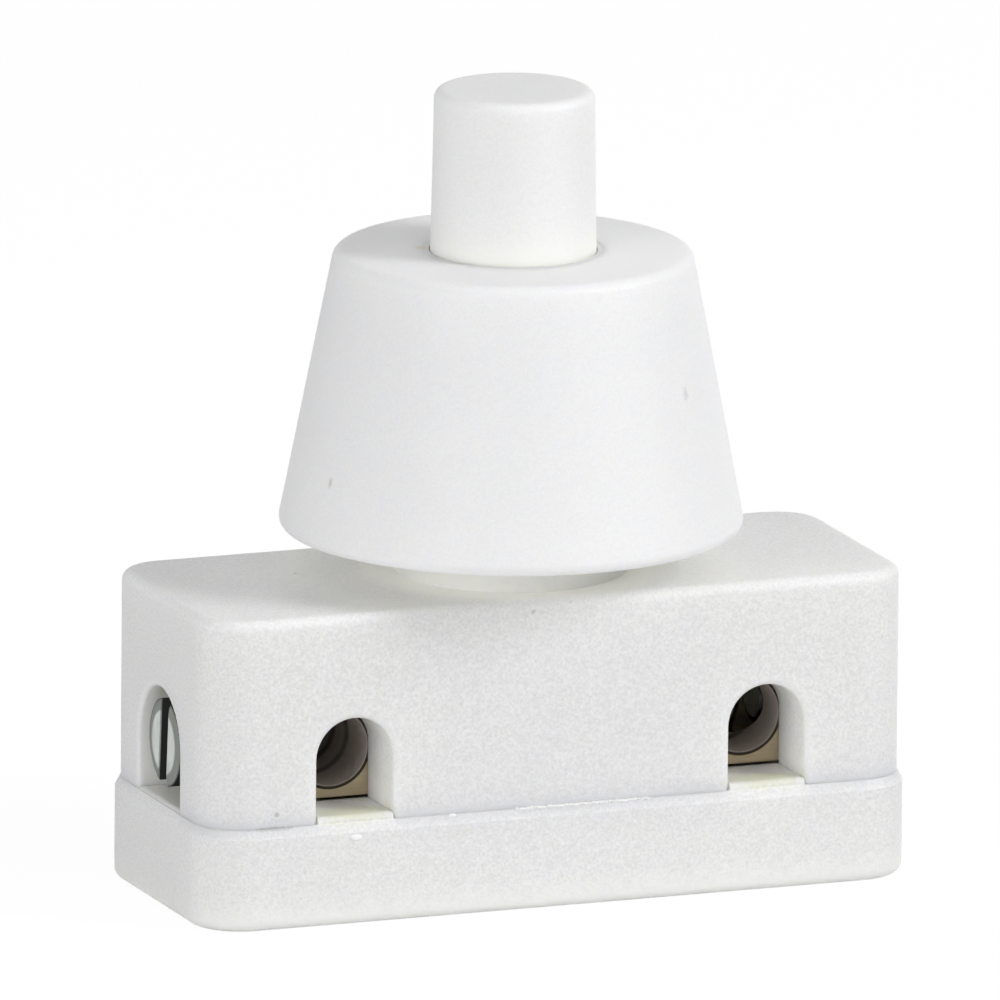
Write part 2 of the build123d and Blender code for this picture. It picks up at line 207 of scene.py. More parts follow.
def floor_finish():
    """White board: real light and shadow, with the lit level lifted to white where it is seen."""
    material = bpy.data.materials.new("floor_board")
    tree = clear_tree(material)
    board = add_node(tree, "ShaderNodeBsdfDiffuse", {"Color": board_grey})
    lift = add_node(tree, "ShaderNodeEmission", {"Color": white, "Strength": board_lift})
    mix = add_node(tree, "ShaderNodeMixShader")
    out = add_node(tree, "ShaderNodeOutputMaterial")
    join(tree, combine(tree, "MULTIPLY", seen_directly(tree), lifted_share), mix, "Fac")
    join(tree, board.outputs[0], mix, 1)
    join(tree, lift.outputs[0], mix, 2)
    join(tree, mix.outputs[0], out, "Surface")
    return material


scene.world = white_world()
bpy.ops.mesh.primitive_plane_add(size=floor_size, location=(0, 0, -floor_drop))
floor = bpy.context.object
floor.name = "floor"
floor.data.materials.append(floor_finish())
print("world and floor in place")

# %% [markdown]
# ## The lamps
# A soft box on the right, above the camera, models the round forms and throws the button's shadow to
# the left. A wider one on the left opens the shaded end and the insides of the wire entries, and a
# weak one straight above lights the top of the body. The ring nut is a thin white shell, and on the
# real switch so much light comes through that it hardly darkens the body under it. That could be traced
# through the shell, but it takes long and stays noisy. Light linking is quicker: a collection of
# blockers says what casts a shadow in the light from above, and the nut is left out of it.

# %% Hang the lamps


def soft_box(name, side, height, distance, size, watts):
    """A square area lamp, turned round the switch by side and raised by height, in degrees."""
    turn, lift = math.radians(side), math.radians(height)
    away = Vector((math.sin(turn) * math.cos(lift), -math.cos(turn) * math.cos(lift), math.sin(lift)))
    target = Vector((0, 0, body_top))
    bpy.ops.object.light_add(type="AREA", location=target + away * distance)
    lamp = bpy.context.object
    lamp.name = name
    lamp.data.size = size
    lamp.data.energy = watts
    lamp.rotation_euler = away.to_track_quat("Z", "Y").to_euler()
    return lamp


key = soft_box("key_box", side=55, height=30, distance=0.6, size=0.2, watts=1.86)
fill = soft_box("fill_box", side=-55, height=10, distance=0.6, size=0.3, watts=1.67)
top = soft_box("top_box", side=0, height=88, distance=0.6, size=0.4, watts=0.82)

blockers = bpy.data.collections.new("top_light_blockers")
for name, node in nodes.items():
    if name != "cone_nut":
        blockers.objects.link(node)
top.light_linking.blocker_collection = blockers

# %% [markdown]
# ## Small tools for modelling
# The fine pieces are all modelled the same way: a simple mesh is added, shaped in edit mode, and given
# modifiers that are applied at once. These helpers select parts of a mesh by their place, apply a
# modifier, and cut one mesh by another.

# %% Define the modelling helpers


def start_clean():
    """Starts a piece with nothing selected."""
    bpy.ops.object.select_all(action="DESELECT")


def pick(test):
    """Selects the vertices of the mesh in edit mode whose place passes the test."""
    bpy.ops.mesh.select_mode(type="VERT")
    mesh = bmesh.from_edit_mesh(bpy.context.edit_object.data)
    for vertex in mesh.verts:
        vertex.select_set(test(vertex.co))
    mesh.select_flush_mode()
    bmesh.update_edit_mesh(bpy.context.edit_object.data)


def apply_modifier(piece, kind, **settings):
    """Adds a modifier to a piece, sets its options and applies it."""
    bpy.context.view_layer.objects.active = piece
    bpy.ops.object.modifier_add(type=kind)
    modifier = piece.modifiers[-1]
    for name, value in settings.items():
        setattr(modifier, name, value)
    bpy.ops.object.modifier_apply(modifier=modifier.name)


def cut_by(piece, cutter, operation):
    """Cuts a piece by another mesh, joins the two or keeps what they share, and removes the cutter."""
    apply_modifier(piece, "BOOLEAN", object=cutter, operation=operation, solver="EXACT")
    bpy.data.objects.remove(cutter)


def close_ends(piece):
    """Fills the open ends of a wound piece and turns its faces outwards."""
    bpy.context.view_layer.objects.active = piece
    bpy.ops.object.mode_set(mode="EDIT")
    bpy.ops.mesh.select_all(action="DESELECT")
    bpy.ops.mesh.select_non_manifold()
    bpy.ops.mesh.fill_holes(sides=0)
    bpy.ops.mesh.select_all(action="SELECT")
    bpy.ops.mesh.normals_make_consistent(inside=False)
    bpy.ops.object.mode_set(mode="OBJECT")


def smooth(piece, angle):
    """Shades a piece smooth, apart from edges sharper than the angle in degrees."""
    start_clean()
    piece.select_set(True)
    bpy.context.view_layer.objects.active = piece
    bpy.ops.object.shade_smooth_by_angle(angle=math.radians(angle))


def report(piece):
    """Prints a piece's faces, its open edges, which should be nought, and its volume."""
    mesh = bmesh.new()
    mesh.from_mesh(piece.data)
    loose = sum(1 for edge in mesh.edges if not edge.is_manifold)
    volume = round(mesh.calc_volume() / mm**3, 3)
    print(piece.name, len(mesh.faces), "faces,", loose, "open edges,", volume, "mm3")
    mesh.free()


print("modelling helpers ready")

# %% [markdown]
# ## The thread on the neck
# The neck carries a metric fine thread, 10 mm across with a pitch of 1 mm, moulded in one with the
# housing. On the real switch it is seen as soon as the ring nut is unscrewed. The ridge could be swept
# along a curve. Here one trapezoid is wound up with a screw modifier, which keeps the turns exact, and
# is then trimmed by a chamfered drum, because a thread starts with a lead-in.

# %% Wind the neck's thread
thread_pitch = 1.0 * mm
thread_crest = 4.97 * mm
thread_root = 4.40 * mm
ridge_foot = 0.86 * mm
ridge_flat = 0.2 * mm
thread_turns = 12
turn_steps = 72
lead_in = 0.6 * mm
neck_wound_from = nut_bottom - 0.4 * mm
neck_trim = (nut_bottom - 0.2 * mm, neck_end - 0.1 * mm)


def wind_ridge(name, root, crest, bottom, turns, pitch, foot, flat):
    """Winds a trapezoid round the Z axis, from a root radius to a crest radius."""
    start_clean()
    bpy.ops.mesh.primitive_plane_add(size=1.0)
    piece = bpy.context.object
    piece.name = name
    bpy.ops.object.mode_set(mode="EDIT")
    bpy.ops.mesh.delete(type="ONLY_FACE")
    bpy.ops.mesh.select_all(action="SELECT")
    bpy.ops.transform.rotate(value=math.radians(90), orient_axis="X", center_override=(0, 0, 0))
    bpy.ops.transform.resize(value=(crest - root, 1, foot), center_override=(0, 0, 0))
    bpy.ops.transform.translate(value=((root + crest) / 2, 0, bottom))
    pick(lambda place: abs(place.x - crest) < abs(place.x - root))
    bpy.ops.transform.resize(value=(1, 1, flat / foot), center_override=(crest, 0, bottom))
    bpy.ops.object.mode_set(mode="OBJECT")
    apply_modifier(piece, "SCREW", axis="Z", angle=math.tau, screw_offset=pitch, iterations=turns,
                   steps=turn_steps, render_steps=turn_steps)
    close_ends(piece)
    return piece


def drum(radius, bottom, top, chamfer=0.0, sides=144):
    """A round bar along Z with a chamfer round its upper edge, to trim other pieces with."""
    start_clean()
    bpy.ops.mesh.primitive_cylinder_add(vertices=sides, radius=radius, depth=top - bottom,
                                        location=(0, 0, (bottom + top) / 2))
    bar = bpy.context.object
    bpy.ops.object.transform_apply(location=True, rotation=True, scale=True)
    if chamfer:
        bpy.ops.object.mode_set(mode="EDIT")
        pick(lambda place: place.z > top - 0.1 * chamfer)
        bpy.ops.mesh.bevel(offset=chamfer, segments=1, affect="EDGES")
        bpy.ops.object.mode_set(mode="OBJECT")
    return bar


neck_thread = wind_ridge("neck_thread", thread_root, thread_crest, neck_wound_from, thread_turns,
                         thread_pitch, ridge_foot, ridge_flat)
trim = drum(thread_crest + 0.1 * mm, *neck_trim, lead_in)
cut_by(neck_thread, trim, "INTERSECT")
smooth(neck_thread, angle=30)
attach(neck_thread, "switch_body")
report(neck_thread)

# %% [markdown]
# ## The thread inside the nut
# The nut's sleeve has the matching ridge, half a pitch apart, so that the two lie between each other.
# It is wound the same way with its crest inwards, and trimmed to the length of the sleeve.

# %% Wind the nut's thread
sleeve_radius = 5.10 * mm
sleeve_crest = 4.56 * mm
sleeve_wound_from = neck_wound_from - thread_pitch / 2
sleeve_trim = (nut_bottom + 0.3 * mm, neck_end - 0.3 * mm)

nut_thread = wind_ridge("nut_thread", sleeve_radius, sleeve_crest, sleeve_wound_from, thread_turns,
                        thread_pitch, ridge_foot, ridge_flat)
trim = drum(sleeve_radius + 0.2 * mm, *sleeve_trim)
cut_by(nut_thread, trim, "INTERSECT")
smooth(nut_thread, angle=30)
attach(nut_thread, "ring_nut")
report(nut_thread)

# %% [markdown]
# ## The lip in the nut's top hole
# On the real switch the nut closes up to the button, so that hardly any gap is seen between the two.
# A fine lip does that at the top of its hole, which is wider below. It could be cut out of the nut by a
# boolean, but a ring that is set a little into the wall of the hole leaves the nut's mesh as it is. It is
# wound like the threads, by one turn without a rise, which closes into a ring.

# %% Turn the lip
button_radius = 3.55 * mm
hole_gap = 0.32 * mm
hole_radius = button_radius + hole_gap
lip_gap = 0.06 * mm
lip_sink = 0.05 * mm
lip_height = 0.5 * mm
lip_flat = 0.44 * mm

nut_lip = wind_ridge("nut_lip", hole_radius + lip_sink, button_radius + lip_gap, nut_top - lip_height / 2,
                     turns=1, pitch=0.0, foot=lip_height, flat=lip_flat)
smooth(nut_lip, angle=30)
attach(nut_lip, "ring_nut")
report(nut_lip)

# %% [markdown]
# ## The terminal screws
# Each end of the body holds a small zinc-plated screw with a slotted head. A real one is cold-headed
# from wire, its slot is sawn and its thread rolled, so the head has a sloped rim, the slot has clean
# walls and the thread ends before the tip. The head starts as a drum whose face is inset and pushed
# out, and the slot is cut by a bar that stands a few degrees off upright.

# %% Turn the head and cut the slot
head_radius = (screw_high[2] - screw_low[2]) / 2
head_height = 1.35 * mm
rim_width = 0.2 * mm
rim_depths = (0.07 * mm, 0.02 * mm)
rim_depth = sum(rim_depths)
slot_width = 0.98 * mm
slot_depth = 0.8 * mm
slot_turn = math.radians(4.4)
edge_break = 0.04 * mm
head_sides = 96
face_x = screw_low[0]


def make_head():
    """The slotted head of the left screw, along X."""
    start_clean()
    length = head_height - rim_depth
    bpy.ops.mesh.primitive_cylinder_add(vertices=head_sides, radius=head_radius, depth=length,
                                        location=(face_x + rim_depth + length / 2, 0, wire_height),
                                        rotation=(0, math.pi / 2, 0))
    head = bpy.context.object
    bpy.ops.object.transform_apply(location=True, rotation=True, scale=True)
    bpy.ops.object.mode_set(mode="EDIT")
    pick(lambda place: place.x < face_x + 2 * rim_depth)
    for depth in rim_depths:
        bpy.ops.mesh.inset(thickness=rim_width, depth=depth)
    bpy.ops.object.mode_set(mode="OBJECT")
    bpy.ops.mesh.primitive_cube_add(size=1.0, location=(face_x, 0, wire_height), rotation=(slot_turn, 0, 0),
                                    scale=(2 * slot_depth, slot_width, 4 * head_radius))
    cut_by(head, bpy.context.object, "DIFFERENCE")
    apply_modifier(head, "BEVEL", width=edge_break, segments=2, limit_method="ANGLE",
                   angle_limit=math.radians(40))
    return head


head = make_head()
report(head)

# %% [markdown]
# The thread of the shank is wound like the others, upright and round the Z axis, and the finished
# shank is then laid along X. With no window, Blender turns it the other way, with its tip to the left,
# so it is turned half round as well. Head and shank could be made one by a boolean, but their round
# faces touch so closely that it leaves holes. They are joined as two closed shells instead.

# %% Add the shank with its thread
shank_radius = 1.22 * mm
screw_crest = 1.48 * mm
screw_pitch = 0.5 * mm
screw_turns = 9
screw_ridge_foot = 0.44 * mm
screw_ridge_flat = 0.08 * mm
shank_sides = 72
tip_chamfer = 0.25 * mm
ridge_sink = 0.06 * mm
ridge_wound_from = -0.4 * mm
ridge_ends = (0.15 * mm, 0.1 * mm)
ridge_chamfer = 0.3 * mm
overlap = 0.2 * mm
tip_x = screw_high[0]


def make_shank():
    """The threaded shank, wound along Z and then laid along X."""
    length = tip_x - face_x - head_height + overlap
    shank = drum(shank_radius, 0, length, tip_chamfer, shank_sides)
    ridge = wind_ridge("ridge", shank_radius - ridge_sink, screw_crest, ridge_wound_from, screw_turns,
                       screw_pitch, screw_ridge_foot, screw_ridge_flat)
    trim = drum(screw_crest + 0.05 * mm, ridge_ends[0], length - ridge_ends[1], ridge_chamfer, shank_sides)
    cut_by(ridge, trim, "INTERSECT")
    cut_by(shank, ridge, "UNION")
    start_clean()
    shank.select_set(True)
    bpy.context.view_layer.objects.active = shank
    for axis, angle in (("Y", math.pi / 2), ("Z", math.pi)):
        bpy.ops.transform.rotate(value=angle, orient_axis=axis, center_override=(0, 0, 0))
        bpy.ops.object.transform_apply(location=True, rotation=True, scale=True)
    bpy.ops.transform.translate(value=(tip_x - length, 0, wire_height))
    bpy.ops.object.transform_apply(location=True, rotation=True, scale=True)
    return shank


shank = make_shank()
start_clean()
for piece in (head, shank):
    piece.select_set(True)
bpy.context.view_layer.objects.active = head
bpy.ops.object.join()
left_screw = bpy.context.object
left_screw.name = "left_slotted_screw"
smooth(left_screw, angle=35)
report(left_screw)

# %% [markdown]
# The right-hand screw is a copy of the left-hand one, turned half round. A mirrored copy would be
# quicker, but its thread would then be left-handed.

# %% Turn a copy round for the right-hand end
start_clean()
left_screw.select_set(True)
bpy.context.view_layer.objects.active = left_screw
bpy.ops.object.duplicate()
right_screw = bpy.context.object
right_screw.name = "right_slotted_screw"
bpy.ops.transform.rotate(value=math.pi, orient_axis="Z", center_override=(0, 0, 0))
bpy.ops.object.transform_apply(location=True, rotation=True, scale=True)
for side, piece in (("left", left_screw), ("right", right_screw)):
    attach(piece, f"{side}_screw")
    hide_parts(f"{side}_terminal_screw")
report(right_screw)

# %% [markdown]
# ## The return spring
# The button rises on a coil spring of drawn wire. Its last turn at each end is wound close and ground
# flat, so that it stands square. A curve with a round profile would follow such a path too. Here three
# stretches with their own pitch are wound from the same ring and welded where they meet, because a
# screw modifier keeps every turn exact, and both ends are cut level.

# %% Wind the spring
wire_radius = 0.225 * mm
coil_radius = spring_high[0] - wire_radius
close_pitch = 0.47 * mm
open_turns = 6
wire_sides = 12
coil_steps = 36
grind = 0.1 * mm


def wind_wire(bottom, pitch, turns):
    """One stretch of wire, wound from a ring of points."""
    start_clean()
    bpy.ops.mesh.primitive_circle_add(vertices=wire_sides, radius=wire_radius, rotation=(math.pi / 2, 0, 0),
                                      location=(coil_radius, 0, bottom))
    stretch = bpy.context.object
    bpy.ops.object.transform_apply(location=True, rotation=True, scale=True)
    apply_modifier(stretch, "SCREW", axis="Z", angle=math.tau, screw_offset=pitch, iterations=turns,
                   steps=coil_steps, render_steps=coil_steps)
    return stretch


def make_spring():
    """The whole coil, closed and ground at both ends."""
    first = spring_low[2] + wire_radius - grind
    last = spring_high[2] - wire_radius + grind
    open_pitch = (last - first - 2 * close_pitch) / open_turns
    stretches = [wind_wire(first, close_pitch, 1), wind_wire(first + close_pitch, open_pitch, open_turns),
                 wind_wire(last - close_pitch, close_pitch, 1)]
    start_clean()
    for stretch in stretches:
        stretch.select_set(True)
    bpy.context.view_layer.objects.active = stretches[0]
    bpy.ops.object.join()
    coil = bpy.context.object
    bpy.ops.object.mode_set(mode="EDIT")
    bpy.ops.mesh.select_all(action="SELECT")
    bpy.ops.mesh.remove_doubles(threshold=0.001 * mm)
    bpy.ops.object.mode_set(mode="OBJECT")
    close_ends(coil)
    for height, clear_below in ((spring_low[2], True), (spring_high[2], False)):
        bpy.ops.object.mode_set(mode="EDIT")
        bpy.ops.mesh.select_all(action="SELECT")
        bpy.ops.mesh.bisect(plane_co=(0, 0, height), plane_no=(0, 0, 1), use_fill=True,
                            clear_inner=clear_below, clear_outer=not clear_below, threshold=0.0001 * mm)
        bpy.ops.object.mode_set(mode="OBJECT")
    return coil


return_coil = make_spring()
return_coil.name = "return_coil"
smooth(return_coil, angle=40)
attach(return_coil, "switch_body")
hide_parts("return_spring")
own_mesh(return_coil)
report(return_coil)

# %% [markdown]
# ## Flash along the parting line
# Where two moulded halves meet, a little plastic is pressed out as a thin, ragged fin. On this switch
# some of it is left along the front of the parting line. A bump in the material could hint at it, but
# a fin that stands out catches real light. It is a strip of grid whose free edge is scattered by
# chance, and which is then thickened.

# %% Model the fin
flash_start = -2.2 * mm
flash_end = 4.0 * mm
fin_reach = 0.1 * mm
fin_thickness = 0.07 * mm
fin_scatter = 0.07 * mm
fin_columns = 90
fin_rows = 3


def make_fin():
    """A ragged strip that stands out from the seam on the front."""
    start_clean()
    length = flash_end - flash_start
    bpy.ops.mesh.primitive_grid_add(x_subdivisions=fin_columns, y_subdivisions=fin_rows, size=1.0)
    fin = bpy.context.object
    bpy.ops.object.mode_set(mode="EDIT")
    bpy.ops.mesh.select_all(action="SELECT")
    bpy.ops.transform.resize(value=(length, 2 * fin_reach, 1), center_override=(0, 0, 0))
    bpy.ops.transform.translate(value=((flash_start + flash_end) / 2, body_front, parting))
    pick(lambda place: place.y < body_front - 0.3 * fin_reach)
    bpy.ops.transform.vertex_random(offset=fin_scatter, seed=4)
    bpy.ops.object.mode_set(mode="OBJECT")
    apply_modifier(fin, "SOLIDIFY", thickness=fin_thickness, offset=0.0)
    return fin


fin = make_fin()
report(fin)

# %% [markdown]
# Two small nibs of plastic sit near the same line. Each starts as a ball that is made uneven and
# pressed flat against the front. They are joined to the fin, since all of it is one waste of moulding.

# %% Add the nibs and join them to the fin
nib_flatness = (1.0, 0.35, 0.55)
nib_scatter = 0.03 * mm
nib_places = ((-9.47 * mm, body_front - 0.25 * mm, 3.84 * mm, 0.26 * mm),
              (-5.03 * mm, body_front - 0.1 * mm, 4.42 * mm, 0.17 * mm))


def make_nib(x, y, z, reach):
    """A small, uneven drop of plastic, about twice as wide as it is high."""
    start_clean()
    bpy.ops.mesh.primitive_ico_sphere_add(subdivisions=3, radius=reach)
    nib = bpy.context.object
    bpy.ops.object.mode_set(mode="EDIT")
    bpy.ops.mesh.select_all(action="SELECT")
    bpy.ops.transform.vertex_random(offset=nib_scatter, seed=2)
    bpy.ops.mesh.vertices_smooth(factor=0.5, repeat=1)
    bpy.ops.transform.resize(value=nib_flatness, center_override=(0, 0, 0))
    bpy.ops.transform.translate(value=(x, y, z))
    bpy.ops.object.mode_set(mode="OBJECT")
    return nib


nibs = [make_nib(*place) for place in nib_places]
start_clean()
for piece in (fin, *nibs):
    piece.select_set(True)
bpy.context.view_layer.objects.active = fin
bpy.ops.object.join()
seam_flash = bpy.context.object
seam_flash.name = "seam_flash"
smooth(seam_flash, angle=50)
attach(seam_flash, "switch_body")
report(seam_flash)

# %% [markdown]
# ## Shared effects
# Several finishes need the same effects, so each effect is a group of nodes that is built once and
# placed in the materials. A group only hands out masks and values. What is done with them, and the
# surface itself, stays in each material.
#
# The first effect is the grain of a moulded skin. A picture of real plastic would do, but noise on the
# object's own coordinates has no seam and no edge. A fine noise gives the speckle, and a slow one the
# patches that are a little glossier than the rest.

# %% Make the group for moulded grain
FLOAT, VECTOR = "NodeSocketFloat", "NodeSocketVector"
speckle_scale = 8500.0
cloud_scale = 420.0


def new_group(name, inputs, outputs):
    """A shader group with float or vector sockets, and its input and output nodes."""
    group = bpy.data.node_groups.new(name, "ShaderNodeTree")
    for socket, kind, default in inputs:
        made = group.interface.new_socket(name=socket, in_out="INPUT", socket_type=kind)
        if default is not None:
            made.default_value = default
    for socket, kind in outputs:
        group.interface.new_socket(name=socket, in_out="OUTPUT", socket_type=kind)
    return group, group.nodes.new("NodeGroupInput"), group.nodes.new("NodeGroupOutput")


def grain_group():
    """Fine speckle and slow unevenness of a moulded surface, each about one half."""
    group, given, made = new_group("moulded_grain", [("Place", VECTOR, None)],
                                   [("Speckle", FLOAT), ("Cloud", FLOAT)])
    for output, scale, detail in (("Speckle", speckle_scale, 2.0), ("Cloud", cloud_scale, 3.0)):
        noise = add_node(group, "ShaderNodeTexNoise", {"Scale": scale, "Detail": detail, "Roughness": 0.6})
        join(group, given.outputs["Place"], noise, "Vector")
        join(group, noise.outputs["Fac"], made, output)
    return group


moulded_grain = grain_group()
print("group:", moulded_grain.name)

# %% [markdown]
# A mark is a speck of grime, a stain or a patch of painted shade at one place. It could be painted on a
# picture that is laid round the body. The distance from its centre needs no picture, and noise makes
# its edge ragged.

# %% Make the group for a single mark


def mark_group():
    """A mask that is one at a place and fades to nought at its reach, with a ragged edge."""
    group, given, made = new_group("single_mark", [("Place", VECTOR, None), ("Centre", VECTOR, (0, 0, 0)),
                                                   ("Stretch", VECTOR, (1, 1, 1)),
                                                   ("Reach", FLOAT, 0.2 * mm)], [("Mask", FLOAT)])
    offset = add_node(group, "ShaderNodeVectorMath", operation="SUBTRACT")
    join(group, given.outputs["Place"], offset, 0)
    join(group, given.outputs["Centre"], offset, 1)
    scaled = add_node(group, "ShaderNodeVectorMath", operation="DIVIDE")
    join(group, offset.outputs[0], scaled, 0)
    join(group, given.outputs["Stretch"], scaled, 1)
    distance = add_node(group, "ShaderNodeVectorMath", operation="LENGTH")
    join(group, scaled.outputs[0], distance, 0)
    share = combine(group, "DIVIDE", distance.outputs["Value"], given.outputs["Reach"])
    noise = add_node(group, "ShaderNodeTexNoise", {"Scale": 6000.0, "Detail": 2.0})
    join(group, given.outputs["Place"], noise, "Vector")
    ragged = combine(group, "ADD", share, noise.outputs["Fac"])
    fade = add_node(group, "ShaderNodeMapRange", {"From Min": 1.5, "From Max": 0.8},
                    interpolation_type="SMOOTHSTEP")
    join(group, ragged, fade, "Value")
    join(group, fade.outputs["Result"], made, "Mask")
    return group


single_mark = mark_group()
print("group:", single_mark.name)

# %% [markdown]
# Grime and oil gather in narrow places, and shade falls there. An ambient occlusion node tells how
# closed in a point is, and noise breaks its even shade into patches. The metals darken with this mask,
# which paints shade along with the grime. The whites use it for their hollows, where it paints light.

# %% Make the group for painted shading and soil in corners


def shading_and_soil_group():
    """A mask of narrow places, for painted shade, painted light and grime, broken up by noise."""
    group, given, made = new_group("hollow_shading_and_soil", [("Place", VECTOR, None), ("Reach", FLOAT, 0.4 * mm),
                                                   ("Full", FLOAT, 0.8)], [("Mask", FLOAT)])
    near = add_node(group, "ShaderNodeAmbientOcclusion", samples=8)
    join(group, given.outputs["Reach"], near, "Distance")
    noise = add_node(group, "ShaderNodeTexNoise", {"Scale": 2500.0, "Detail": 3.0})
    join(group, given.outputs["Place"], noise, "Vector")
    closed = combine(group, "SUBTRACT", 1.0, near.outputs["AO"])
    broken = combine(group, "MULTIPLY", closed, combine(group, "ADD", noise.outputs["Fac"], 0.6))
    fade = add_node(group, "ShaderNodeMapRange", {"From Min": 0.1}, interpolation_type="SMOOTHSTEP")
    join(group, broken, fade, "Value")
    join(group, given.outputs["Full"], fade, "From Max")
    join(group, fade.outputs["Result"], made, "Mask")
    return group


hollow_shading_and_soil = shading_and_soil_group()
print("group:", hollow_shading_and_soil.name)

# %% [markdown]
# The edges of white plastic look lighter than its faces, because light enters them from two sides.
# That light is painted on as a lighter colour. The same kind of node finds these edges when it looks
# into the plastic instead of out of it.

# %% Make the group for painted light on edges


def edge_group():
    """A mask of outer edges, where painted light stands in for the light that thin plastic lets through."""
    group, given, made = new_group("painted_light_edges", [("Width", FLOAT, 0.4 * mm)], [("Mask", FLOAT)])
    thin = add_node(group, "ShaderNodeAmbientOcclusion", samples=8, inside=True)
    join(group, given.outputs["Width"], thin, "Distance")
    fade = add_node(group, "ShaderNodeMapRange", {"From Min": 0.95, "From Max": 0.6})
    join(group, thin.outputs["AO"], fade, "Value")
    join(group, fade.outputs["Result"], made, "Mask")
    return group


painted_light_edges = edge_group()
print("group:", painted_light_edges.name)

# %% [markdown]
# Drilled and turned pieces get bands of painted shade and painted light: round the mouth of a bore, on
# the rim of a screw or at some depth. One group masks what lies between two distances, from an axis or,
# if only one direction counts, from a plane. It drops the sign of the place, so a band on the left is
# on the right as well.

# %% Make the group for a band


def band_group():
    """A mask between two distances from an axis or a plane, alike on both sides of the switch."""
    group, given, made = new_group("round_band", [("Place", VECTOR, None), ("Centre", VECTOR, (0, 0, 0)),
                                                  ("Across", VECTOR, (1, 1, 1)), ("Inner", FLOAT, 0.0),
                                                  ("Outer", FLOAT, 1.0 * mm), ("Soft", FLOAT, 0.1 * mm)],
                                   [("Mask", FLOAT)])
    folded = add_node(group, "ShaderNodeVectorMath", operation="ABSOLUTE")
    join(group, given.outputs["Place"], folded, 0)
    offset = add_node(group, "ShaderNodeVectorMath", operation="SUBTRACT")
    join(group, folded.outputs[0], offset, 0)
    join(group, given.outputs["Centre"], offset, 1)
    flat = add_node(group, "ShaderNodeVectorMath", operation="MULTIPLY")
    join(group, offset.outputs[0], flat, 0)
    join(group, given.outputs["Across"], flat, 1)
    radius = add_node(group, "ShaderNodeVectorMath", operation="LENGTH")
    join(group, flat.outputs[0], radius, 0)
    rise = combine(group, "SUBTRACT", radius.outputs["Value"], given.outputs["Inner"])
    fall = combine(group, "SUBTRACT", given.outputs["Outer"], radius.outputs["Value"])
    fade = add_node(group, "ShaderNodeMapRange", {"From Min": 0.0}, interpolation_type="SMOOTHSTEP")
    join(group, combine(group, "MINIMUM", rise, fall), fade, "Value")
    join(group, given.outputs["Soft"], fade, "From Max")
    join(group, fade.outputs["Result"], made, "Mask")
    return group


round_band = band_group()
print("group:", round_band.name)

# %% [markdown]
# Handling rubs tarnish off the outer edges. A bevel node gives the normal that a rounded edge would
# have, and where it leaves the true normal, there is an edge.

# %% Make the group for rubbed edges


def rub_group():
    """A mask of outer edges, where plating and tarnish are rubbed away."""
    group, given, made = new_group("edge_rub", [("Place", VECTOR, None), ("Width", FLOAT, 0.05 * mm)],
                                   [("Mask", FLOAT)])
    rounded = add_node(group, "ShaderNodeBevel", samples=6)
    join(group, given.outputs["Width"], rounded, "Radius")
    surface = add_node(group, "ShaderNodeNewGeometry")
    bend = add_node(group, "ShaderNodeVectorMath", operation="DOT_PRODUCT")
    join(group, rounded.outputs["Normal"], bend, 0)
    join(group, surface.outputs["Normal"], bend, 1)
    noise = add_node(group, "ShaderNodeTexNoise", {"Scale": 4000.0, "Detail": 2.0})
    join(group, given.outputs["Place"], noise, "Vector")
    edge = combine(group, "SUBTRACT", 1.0, bend.outputs["Value"])
    broken = combine(group, "MULTIPLY", edge, noise.outputs["Fac"])
    fade = add_node(group, "ShaderNodeMapRange", {"From Min": 0.01, "From Max": 0.08})
    join(group, broken, fade, "Value")
    join(group, fade.outputs["Result"], made, "Mask")
    return group


edge_rub = rub_group()
print("group:", edge_rub.name)

# %% [markdown]
# ## White plastics
# Body, nut and button are moulded from white plastic with a fine satin skin. Light enters it and comes
# out a little further on, which is why its shadows are soft and slightly warm. A painted white would
# look hard next to it. The speckle changes the colour and the height by a trace. Hollows take a light,
# warm white, painted light for the light that wanders there inside the plastic, and edges a clean one,
# which is painted light too.

# %% Define the plastic
brightest = 0.98
hollow_painted_light = (0.98, 0.973, 0.905)
hollow_reach = 2.5 * mm
edge_painted_white = (0.98, 0.98, 0.975)
light_spread = (1.0, 0.97, 0.8)
skin_change = 0.06


def use_group(tree, group, place, values=None):
    """Adds a group to a material and feeds it the place on the object."""
    node = add_node(tree, "ShaderNodeGroup", node_tree=group)
    for name, value in (values or {}).items():
        node.inputs[name].default_value = value
    if "Place" in node.inputs:
        join(tree, place, node, "Place")
    return node


def blend_colour(tree, mask, below, above):
    """Mixes two colours by a mask; each may be an output or a plain colour."""
    mix = add_node(tree, "ShaderNodeMix", data_type="RGBA")
    join(tree, mask, mix, "Factor")
    # The sockets for colours come after those for numbers and vectors, under the same names.
    for socket, colour in ((mix.inputs[6], below), (mix.inputs[7], above)):
        if isinstance(colour, tuple):
            socket.default_value = (*colour, 1)
        else:
            tree.links.new(colour, socket)
    return mix.outputs[2]


